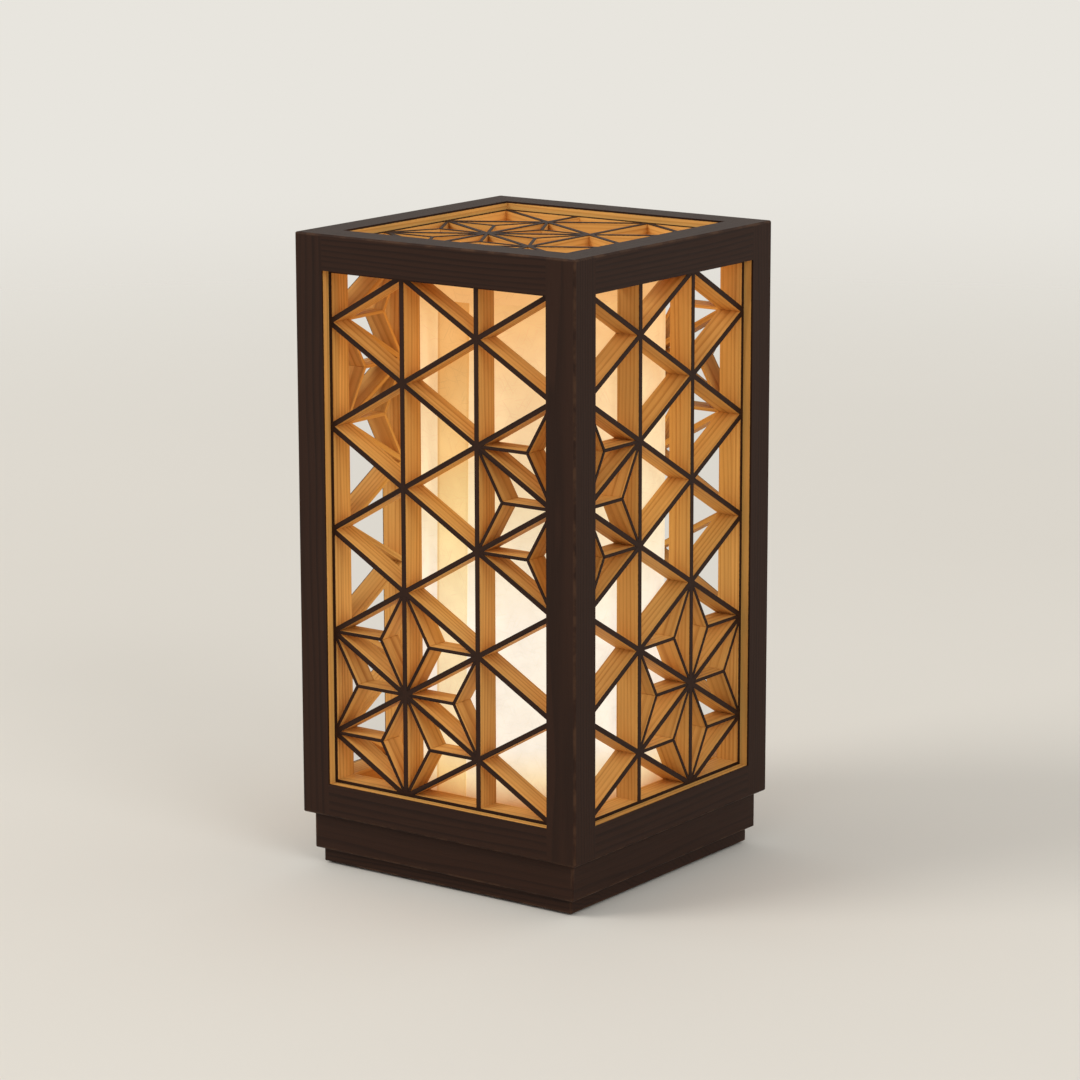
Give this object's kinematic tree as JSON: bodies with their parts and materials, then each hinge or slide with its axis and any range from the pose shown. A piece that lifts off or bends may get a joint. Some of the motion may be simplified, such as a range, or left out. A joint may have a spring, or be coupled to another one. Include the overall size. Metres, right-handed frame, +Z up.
{
  "type": "kumiko table lamp",
  "caption": "Square wooden lattice lantern with hemp leaf kumiko panels that lifts off a stepped plinth over a paper tube and a screw bulb.",
  "frame": {"origin": "middle of the underside, on the surface that the felt pads stand on", "axes": "+Z up, -Y the front (the picture's left face), +X the right (the picture's right face)"},
  "size_m": [0.16, 0.16, 0.3053],
  "materials": {
    "dark_wood": "dark brown stain, satin oiled, straight grain",
    "light_wood": "planed straight-grained cypress, unfinished",
    "washi": "laminated mulberry paper, lit from inside",
    "porcelain": "white glaze",
    "brass": "plain",
    "bulb_cap": "thin rolled shell",
    "solder": "dull solder",
    "filament": "tungsten wire",
    "black_insulator": "black glass",
    "bulb_glass": "clear",
    "zinc_steel": "zinc plated",
    "felt": "brown wool felt",
    "rubber": "matt black"
  },
  "bodies": {
    "base": {"plinth_front_batten": "dark_wood", "plinth_back_batten": "dark_wood", "plinth_side_battens": "dark_wood", "plinth_panel": "light_wood", "foot_board": "dark_wood", "foot_screws": "zinc_steel", "felt_pads": "felt", "locating_board": "light_wood", "cable_grommet": "rubber", "tube_collar": "light_wood", "holder_body": "porcelain", "holder_shell": "brass", "holder_contact": "brass", "holder_terminals": "brass", "holder_screws": "zinc_steel"},
    "lantern": {"front_left_post": "dark_wood", "front_right_post": "dark_wood", "back_right_post": "dark_wood", "back_left_post": "dark_wood", "front_top_rail": "dark_wood", "right_top_rail": "dark_wood", "back_top_rail": "dark_wood", "left_top_rail": "dark_wood", "front_bottom_rail": "dark_wood", "right_bottom_rail": "dark_wood", "back_bottom_rail": "dark_wood", "left_bottom_rail": "dark_wood", "front_panel_strips": "light_wood", "right_panel_strips": "light_wood", "back_panel_strips": "light_wood", "left_panel_strips": "light_wood", "front_uprights": "light_wood", "right_uprights": "light_wood", "back_uprights": "light_wood", "left_uprights": "light_wood", "front_rising_bars": "light_wood", "right_rising_bars": "light_wood", "back_rising_bars": "light_wood", "left_rising_bars": "light_wood", "front_falling_bars": "light_wood", "right_falling_bars": "light_wood", "back_falling_bars": "light_wood", "left_falling_bars": "light_wood", "front_leaves": "light_wood", "right_leaves": "light_wood", "back_leaves": "light_wood", "left_leaves": "light_wood", "top_panel_strips": "light_wood", "top_straight_bars": "light_wood", "top_rising_bars": "light_wood", "top_falling_bars": "light_wood", "top_leaves": "light_wood"},
    "shade": {"paper_tube": "washi"},
    "bulb": {"bulb_glass": "bulb_glass", "bulb_cap": "bulb_cap", "bulb_insulator": "black_insulator", "bulb_contact": "solder", "bulb_stem": "bulb_glass", "bulb_filament": "filament"}
  },
  "joints": [
    {"name": "lantern_lift", "type": "slide", "parent": "base", "child": "lantern", "axis": [0, 0, 1], "range_m": [0, 0.3]},
    {"name": "shade_lift", "type": "slide", "parent": "base", "child": "shade", "axis": [0, 0, 1], "range_m": [0, 0.012]},
    {"name": "bulb_lift", "type": "slide", "parent": "base", "child": "bulb", "axis": [0, 0, 1], "range_m": [0, 0.024]}
  ]
}
